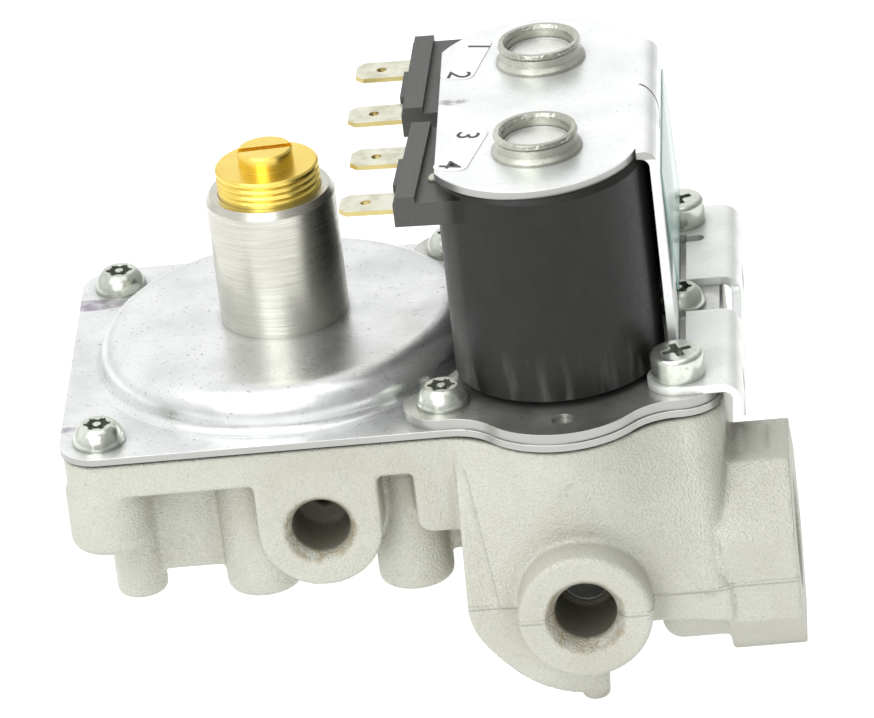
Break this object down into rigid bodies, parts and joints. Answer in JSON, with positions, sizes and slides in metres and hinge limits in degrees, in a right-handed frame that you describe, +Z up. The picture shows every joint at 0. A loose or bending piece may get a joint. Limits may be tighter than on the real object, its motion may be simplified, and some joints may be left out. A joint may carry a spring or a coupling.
{
  "type": "gas valve",
  "caption": "Gas valve with a die-cast body, a domed pressure regulator with an adjusting tower, and solenoid coils side by side that lift plungers off their seats.",
  "frame": {"origin": "centre of the outlet port's mouth, on the end face of the octagonal boss", "axes": "+X out of the outlet port, +Z up towards the coils, -Y out of the inlet port"},
  "size_m": [0.1171, 0.0937, 0.0902],
  "materials": {
    "cast_body": "sand-textured die casting, matt",
    "zinc_cover": "bright zinc plate, semi-gloss",
    "steel_plate": "zinc plate, satin",
    "turned_steel": "fine turned rings",
    "brass": "bright turned",
    "gasket": "matt fibre-reinforced nitrile",
    "rubber": "matt",
    "adjuster_plastic": "natural acetal",
    "pan_steel": "plain pressed steel",
    "spring_steel": "drawn wire",
    "aluminium": "machined",
    "coil_resin": "satin moulded resin",
    "tinned_brass": "dull tin over brass, brass showing at sheared edges",
    "guide_steel": "ground",
    "collar_zinc": "zinc plate, slight yellow cast",
    "bracket_zinc": "zinc plate, satin",
    "insulator": "thin translucent film",
    "mount_zinc": "zinc plate, satin",
    "screw_zinc": "zinc plate, slight yellow-green cast",
    "label_white": "printed paper label",
    "screen_steel": "perforated"
  },
  "bodies": {
    "valve": {"valve_body": "cast_body", "cover_plate": "zinc_cover", "solenoid_plate": "steel_plate", "regulator_tube": "turned_steel", "regulator_seat": "brass", "cover_gasket": "gasket", "regulator_diaphragm": "rubber", "plug_o_ring": "rubber", "front_coil_washer": "pan_steel", "rear_coil_washer": "pan_steel", "bottom_plug": "aluminium", "front_coil": "coil_resin", "rear_coil": "coil_resin", "front_terminals": "tinned_brass", "rear_terminals": "tinned_brass", "front_guide_tube": "guide_steel", "rear_guide_tube": "guide_steel", "front_fixed_core": "guide_steel", "rear_fixed_core": "guide_steel", "front_retaining_collar": "collar_zinc", "rear_retaining_collar": "collar_zinc", "coil_bracket": "bracket_zinc", "insulator_sheet": "insulator", "mounting_bracket": "mount_zinc", "cover_screws": "screw_zinc", "solenoid_plate_screws": "screw_zinc", "bracket_screws": "screw_zinc", "terminal_labels": "label_white", "inlet_screen": "screen_steel"},
    "cap_carrier": {"cap_o_ring": "rubber"},
    "cap": {"seal_cap": "brass"},
    "adjuster_carrier": {"upper_spring_seat": "pan_steel"},
    "adjuster": {"adjusting_screw": "adjuster_plastic"},
    "poppet": {"regulator_poppet": "aluminium", "poppet_seal": "rubber", "diaphragm_pan": "pan_steel", "regulator_spring": "spring_steel"},
    "front_armature": {"front_plunger": "guide_steel", "front_plunger_seal": "rubber", "front_return_spring": "spring_steel"},
    "rear_armature": {"rear_plunger": "guide_steel", "rear_plunger_seal": "rubber", "rear_return_spring": "spring_steel"}
  },
  "joints": [
    {"name": "cap_travel", "type": "slide", "parent": "valve", "child": "cap_carrier", "axis": [0, 0, 1], "range_m": [0, 0.005]},
    {"name": "cap_turn", "type": "hinge", "parent": "cap_carrier", "child": "cap", "pos_m": [-0.08075, 0.0254, 0.0583], "axis": [0, 0, 1], "range_deg": [0, 1440]},
    {"name": "adjuster_travel", "type": "slide", "parent": "valve", "child": "adjuster_carrier", "axis": [0, 0, 1], "range_m": [-0.003, 0.0015], "deforming": ["regulator_spring"]},
    {"name": "adjuster_turn", "type": "hinge", "parent": "adjuster_carrier", "child": "adjuster", "pos_m": [-0.08075, 0.0254, 0.0453], "axis": [0, 0, 1], "range_deg": [-864, 432]},
    {"name": "poppet_lift", "type": "slide", "parent": "valve", "child": "poppet", "axis": [0, 0, 1], "range_m": [0, 0.002], "stiffness_N_per_m": 400, "springref_m": -0.004, "deforming": ["regulator_spring", "regulator_diaphragm"]},
    {"name": "front_plunger_lift", "type": "slide", "parent": "valve", "child": "front_armature", "axis": [0, 0, 1], "range_m": [0, 0.0023], "stiffness_N_per_m": 200, "springref_m": -0.005, "deforming": ["front_return_spring"]},
    {"name": "rear_plunger_lift", "type": "slide", "parent": "valve", "child": "rear_armature", "axis": [0, 0, 1], "range_m": [0, 0.0023], "stiffness_N_per_m": 200, "springref_m": -0.005, "deforming": ["rear_return_spring"]}
  ],
  "couplings": [
    {"joint": "cap_turn", "follows": "cap_travel", "rad_per_m": 5026.5},
    {"joint": "adjuster_turn", "follows": "adjuster_travel", "rad_per_m": 5026.5}
  ]
}
